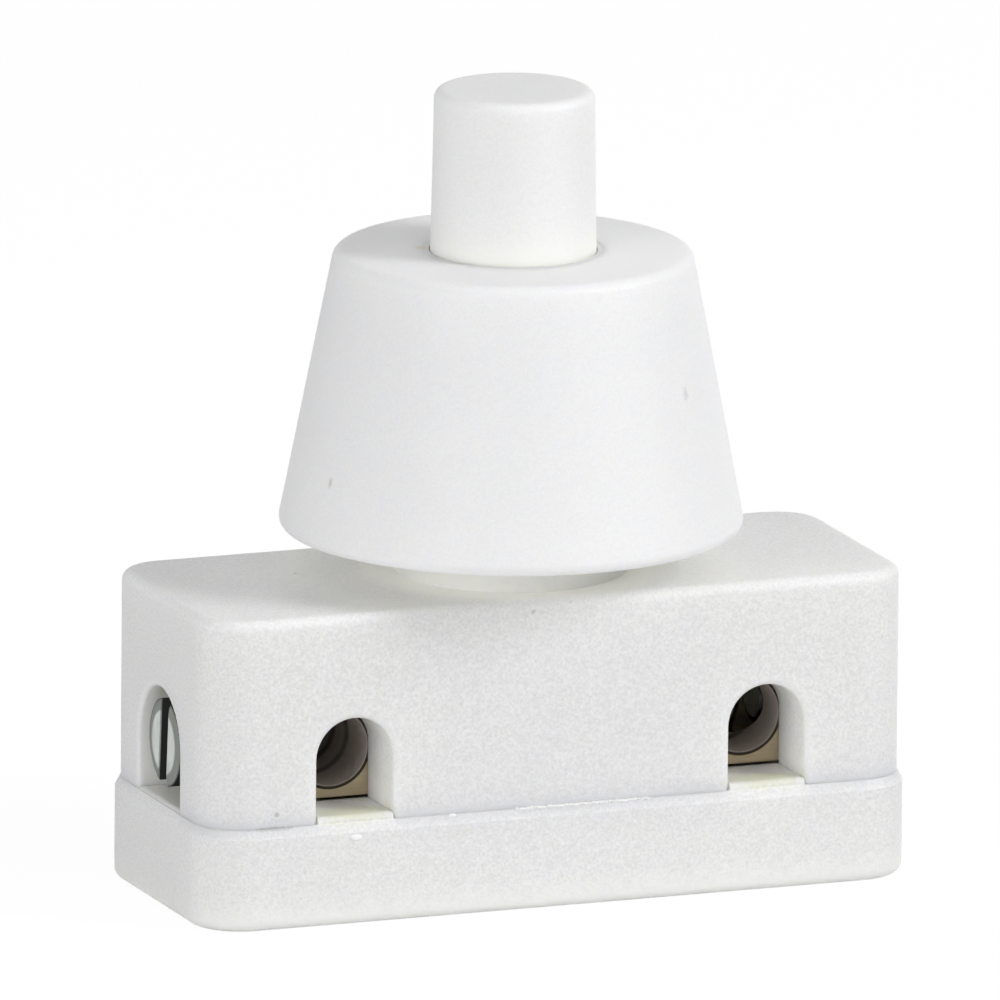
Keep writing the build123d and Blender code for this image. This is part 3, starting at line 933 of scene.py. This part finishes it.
def plastic(name, colour, marks=(), depth=1.5, share=0.6, roughness=0.5, contrast=0.13):
    """A translucent moulded white with grain, hollows and edges lightened by painted light, and the given
    marks.
    """
    material = bpy.data.materials.new(name)
    tree = clear_tree(material)
    place = add_node(tree, "ShaderNodeTexCoord").outputs["Object"]
    grain = use_group(tree, moulded_grain, place)
    pale = tuple(min(brightest, channel * (1 + contrast)) for channel in colour)
    deep = tuple(channel * (1 - contrast) for channel in colour)
    shade = add_node(tree, "ShaderNodeMapRange", {"From Min": 0.2, "From Max": 0.8})
    join(tree, grain.outputs["Speckle"], shade, "Value")
    tint = blend_colour(tree, shade.outputs["Result"], deep, pale)
    # Painted light: hollows turn a warm white and outer edges a clean white, for light through the plastic.
    hollow = use_group(tree, hollow_shading_and_soil, place, {"Reach": hollow_reach, "Full": 0.6})
    tint = blend_colour(tree, hollow.outputs["Mask"], tint, hollow_painted_light)
    edge = use_group(tree, painted_light_edges, place)
    tint = blend_colour(tree, edge.outputs["Mask"], tint, edge_painted_white)
    for centre, stretch, reach, strength, ink in marks:
        spot = use_group(tree, single_mark, place, {"Centre": centre, "Stretch": stretch, "Reach": reach})
        tint = blend_colour(tree, combine(tree, "MULTIPLY", spot.outputs["Mask"], strength), tint, ink)
    skin = add_node(tree, "ShaderNodeMapRange", {"From Min": 0.3, "From Max": 0.7,
                                                 "To Min": roughness - skin_change,
                                                 "To Max": roughness + skin_change})
    join(tree, grain.outputs["Cloud"], skin, "Value")
    relief = add_node(tree, "ShaderNodeBump", {"Strength": 0.25, "Distance": 0.01 * mm})
    join(tree, grain.outputs["Speckle"], relief, "Height")
    surface = add_node(tree, "ShaderNodeBsdfPrincipled", {
        "Subsurface Weight": share, "Subsurface Radius": light_spread, "Subsurface Scale": depth * mm})
    join(tree, tint, surface, "Base Color")
    join(tree, skin.outputs["Result"], surface, "Roughness")
    join(tree, relief.outputs["Normal"], surface, "Normal")
    out = add_node(tree, "ShaderNodeOutputMaterial")
    join(tree, surface.outputs[0], out, "Surface")
    return material


def mark(x, y, z, reach, strength, ink, stretch=(1, 1, 1)):
    """A mark at a place in millimetres, for the list of a plastic's marks."""
    return (x * mm, y * mm, z * mm), stretch, reach * mm, strength, ink


print("plastic defined")

# %% [markdown]
# The nut and the button are a cleaner white than the body, and the rotor inside is cream. The real
# switch isn't quite clean: a few dark specks and a stained stretch of the seam are set at their places.
# So are patches of painted shade: olive on the sills in the wire entries, dark in the ceiling of the
# left screw hole and straw at the rim of the nut's top hole. Each has its reach, its strength and, where
# it isn't round, its stretch. The thin flash has no depth for light to wander in, and is painted a
# lighter white than the body, as painted light.

# %% Mix the whites
body_colour = (0.85, 0.848, 0.84)
clean_white = (0.955, 0.953, 0.945)
cream = (0.78, 0.75, 0.66)
flash_painted_light_white = (0.97, 0.97, 0.965)
dark_grime_and_shadow = (0.16, 0.15, 0.14)
rust = (0.42, 0.34, 0.20)
chalk = (0.93, 0.94, 0.93)
olive_sill_shade = (0.76, 0.77, 0.60)
straw_gap_shade = (0.80, 0.72, 0.46)
sill_stretch = (2.6, 1.3, 0.6)
body_marks = (
    mark(-1.41, -6.3, 13.01, 0.14, 0.3, dark_grime_and_shadow),
    mark(0.33, -6.3, 13.30, 0.12, 0.3, dark_grime_and_shadow),
    mark(-13.0, -6.3, 5.05, 0.16, 0.4, dark_grime_and_shadow),
    mark(-9.18, 1.73, 13.5, 0.14, 0.4, dark_grime_and_shadow),
    mark(-13.2, -6.33, 4.45, 0.13, 0.3, dark_grime_and_shadow, (10.0, 3.0, 0.9)),
    # Painted shadow: a dark patch in the ceiling of the left screw hole, above the head.
    mark(-14.9, -0.2, 9.45, 0.7, 0.9, dark_grime_and_shadow, (1.0, 0.9, 0.6)),
    # Painted shade: olive on the sills inside both wire entries.
    *(mark(side * entry_x / mm, -5.7, 4.75, 1.0, 0.9, olive_sill_shade, sill_stretch) for side in (-1, 1)),
)
nut_marks = (
    mark(-9.18, -2.26, 18.35, 0.24, 0.4, rust, (0.8, 0.8, 1.4)),
    mark(-7.95, -4.64, 19.69, 0.35, 0.6, chalk, (1.0, 1.0, 2.0)),
    mark(5.29, -6.98, 22.19, 0.3, 0.2, dark_grime_and_shadow, (1.0, 1.0, 1.4)),
    # Painted shade: straw at the rim of the nut's top hole, where the gap beside the button shows.
    mark(-3.65, 1.42, 27.4, 0.4, 0.6, straw_gap_shade),
)
finishes = {
    "body_plastic": plastic("body_white", body_colour, body_marks),
    "nut_plastic": plastic("nut_white", clean_white, nut_marks, contrast=0.07),
    "button_plastic": plastic("button_white", clean_white, depth=1.0, share=0.35, contrast=0.07),
    "rotor_plastic": plastic("rotor_cream", cream),
    # Painted light: the flash is a lighter white than the body, so that its fin and nibs stay bright.
    "flash": plastic("flash_white", flash_painted_light_white, share=0.0),
}
print("plastics:", [material.name for material in finishes.values()])

# %% [markdown]
# ## Metals
# Every metal here is finished in the same way: fine working marks run along the piece, tarnish lies in
# patches, edges are rubbed bright, and corners are darkened, which is soil and painted shade at once.
# So one function makes them all, from a clean colour, a tarnished colour and the fineness of the marks
# along each axis. Bands add painted shade or painted light at set places. Soil and painted shading
# aren't metal, and a dark metal would still mirror the white studio. Where they lie, the mirror is
# switched off, and only their dull colour is left.

# %% Define the metals
even_marks = (900.0, 900.0, 900.0)
patch_scale = 900.0
soil_and_shade_brown = (0.05, 0.045, 0.04)
rubbed_gain = 1.3
rubbed_share = 0.5
smoother, rougher = 0.1, 0.12


def metal(name, clean, tarnish, roughness, lines=even_marks, reach=0.5, full=0.8, depth=0.8,
          ink=soil_and_shade_brown, bands=()):
    """A worn metal: fine working marks, uneven tarnish, grime and painted shade in corners, painted shading
    in bands, and bright edges.
    """
    material = bpy.data.materials.new(name)
    tree = clear_tree(material)
    place = add_node(tree, "ShaderNodeTexCoord").outputs["Object"]
    stretched = add_node(tree, "ShaderNodeVectorMath", {1: lines}, operation="MULTIPLY")
    join(tree, place, stretched, 0)
    worked = add_node(tree, "ShaderNodeTexNoise", {"Scale": 1.0, "Detail": 3.0, "Roughness": 0.65})
    join(tree, stretched.outputs[0], worked, "Vector")
    patchy = add_node(tree, "ShaderNodeTexNoise", {"Scale": patch_scale, "Detail": 4.0, "Roughness": 0.6})
    join(tree, place, patchy, "Vector")
    total = combine(tree, "ADD", worked.outputs["Fac"], patchy.outputs["Fac"])
    both = combine(tree, "MULTIPLY", total, 0.5)
    spread = add_node(tree, "ShaderNodeMapRange", {"From Min": 0.35, "From Max": 0.65})
    join(tree, both, spread, "Value")
    tint = blend_colour(tree, spread.outputs["Result"], tarnish, clean)
    rub = use_group(tree, edge_rub, place)
    tint = blend_colour(tree, combine(tree, "MULTIPLY", rub.outputs["Mask"], rubbed_share), tint,
                        tuple(min(1.0, channel * rubbed_gain) for channel in clean))
    # Painted shade and grime: narrow corners darken to the ink and lose their mirror.
    corner_mask = use_group(tree, hollow_shading_and_soil, place, {"Reach": reach * mm, "Full": full})
    soil_and_shade = combine(tree, "MULTIPLY", corner_mask.outputs["Mask"], depth)
    tint = blend_colour(tree, soil_and_shade, tint, ink)
    dull = soil_and_shade
    # Bands paint shade or light at set places, and turn dull there.
    for limits, strength, band_ink in bands:
        ring = use_group(tree, round_band, place, limits)
        band_share = combine(tree, "MULTIPLY", ring.outputs["Mask"], strength)
        tint = blend_colour(tree, band_share, tint, band_ink)
        dull = combine(tree, "MAXIMUM", dull, band_share)
    sheen = add_node(tree, "ShaderNodeMapRange", {"To Min": roughness - smoother,
                                                  "To Max": roughness + rougher})
    join(tree, both, sheen, "Value")
    relief = add_node(tree, "ShaderNodeBump", {"Strength": 0.35, "Distance": 0.01 * mm})
    join(tree, worked.outputs["Fac"], relief, "Height")
    surface = add_node(tree, "ShaderNodeBsdfPrincipled", {"Specular IOR Level": 0.0})
    join(tree, tint, surface, "Base Color")
    join(tree, combine(tree, "SUBTRACT", 1.0, dull), surface, "Metallic")
    join(tree, sheen.outputs["Result"], surface, "Roughness")
    join(tree, relief.outputs["Normal"], surface, "Normal")
    out = add_node(tree, "ShaderNodeOutputMaterial")
    join(tree, surface.outputs[0], out, "Surface")
    return material


def band(centre, across, inner, outer, soft, strength, ink):
    """A band of painted shade or painted light, with its distances in millimetres, for the list of a metal's
    bands.
    """
    limits = {"Centre": centre, "Across": across, "Inner": inner * mm, "Outer": outer * mm, "Soft": soft * mm}
    return limits, strength, ink


print("metal defined")

# %% [markdown]
# The terminal blocks are sawn from brass bar and have gone brown. Their bores are painted a lighter,
# dull grey-brown, painted light for the light that hardly reaches in, with painted shade as a dark ring
# round the mouth and another one further in. Their corners darken with grime and painted shade. Strips
# and bridge are rolled brass, which is brighter, and the contacts are silver.

# %% Mix the brasses and the silver
round_y = (1, 0, 1)
along_y = (0, 1, 0)
bore_axis = (entry_x, 0, wire_height)
bore_radius = 1.65
block_front = -block_low[1] / mm
# Painted light for the inside of the bores, and painted shade deeper in and round their mouths.
bore_painted_light_grey = (0.48, 0.42, 0.385)
deep_bore_shade = (0.12, 0.115, 0.11)
bore_mouth_shade = (0.03, 0.027, 0.024)
bore_bands = (
    band(bore_axis, round_y, -1.0, bore_radius + 0.05, 0.04, 1.0, bore_painted_light_grey),
    band(bore_axis, along_y, block_front - 2.9, block_front - 2.0, 0.4, 0.7, deep_bore_shade),
    band(bore_axis, round_y, bore_radius + 0.005, bore_radius + 0.19, 0.05, 0.95, bore_mouth_shade),
)
# Corners of the blocks darken to brown within 2 mm, painted shade along with grime.
finishes["terminal_brass"] = metal(
    "terminal_brass_finish", clean=(0.56, 0.46, 0.30), tarnish=(0.40, 0.31, 0.20), roughness=0.45,
    lines=(400.0, 9000.0, 9000.0), reach=2.0, full=1.2, depth=1.0, ink=(0.42, 0.37, 0.26), bands=bore_bands)
finishes["contact_brass"] = metal(
    "contact_brass_finish", clean=(0.72, 0.55, 0.30), tarnish=(0.55, 0.40, 0.20), roughness=0.32,
    lines=(300.0, 8000.0, 8000.0))
finishes["contact_silver"] = metal(
    "contact_silver_finish", clean=(0.86, 0.85, 0.82), tarnish=(0.60, 0.58, 0.53), roughness=0.28)
print("brass and silver:", [name for name in finishes if "brass" in name or "silver" in name])

# %% [markdown]
# The screws are zinc-plated steel with a bluish grey. Their sloped rim is duller and darker than the
# face, painted shade and a painted dark reflection, and the slot is painted black as painted shade.
# Their narrow corners go near black, painted shade as well. The spring is plain drawn wire.

# %% Mix the steels
round_x = (0, 1, 1)
along_x = (1, 0, 0)
screw_axis = (0, 0, wire_height)
head_face = -face_x / mm
# Painted shade: the rim darker all round, also a painted dark reflection, and the slot black.
rim_shade_grey = (0.24, 0.25, 0.23)
slot_shade_black = (0.03, 0.032, 0.03)
screw_bands = (
    band(screw_axis, round_x, 1.3, 3.0, 0.15, 0.85, rim_shade_grey),
    band(screw_axis, along_x, head_face - 0.9, head_face - 0.05, 0.05, 1.0, slot_shade_black),
)
# Painted shade: narrow corners, such as the slot and round the rim, go near black.
finishes["screw_steel"] = metal(
    "screw_steel_finish", clean=(0.60, 0.63, 0.61), tarnish=(0.40, 0.43, 0.41), roughness=0.34,
    lines=(2500.0, 7000.0, 1200.0), reach=1.0, full=0.42, depth=1.0, ink=(0.01, 0.01, 0.009),
    bands=screw_bands)
finishes["spring_steel"] = metal(
    "spring_steel_finish", clean=(0.60, 0.61, 0.62), tarnish=(0.36, 0.36, 0.37), roughness=0.3)
print("steels:", [name for name in finishes if "steel" in name])

# %% [markdown]
# ## Dress every solid and piece
# Each solid names the finish it takes in its one material slot, so a loop can swap the name for the
# finish. The new pieces take the finish of what they belong to, apart from the flash, which has its own.

# %% Give out the finishes
for node in nodes.values():
    node.data.materials[0] = finishes[node.data.materials[0].name]
piece_finishes = {neck_thread: "body_plastic", nut_thread: "nut_plastic", nut_lip: "nut_plastic",
                  seam_flash: "flash", left_screw: "screw_steel", right_screw: "screw_steel",
                  return_coil: "spring_steel"}
for piece, finish in piece_finishes.items():
    piece.data.materials.clear()
    piece.data.materials.append(finishes[finish])
print("dressed", len(nodes), "solids and", len(piece_finishes), "pieces")
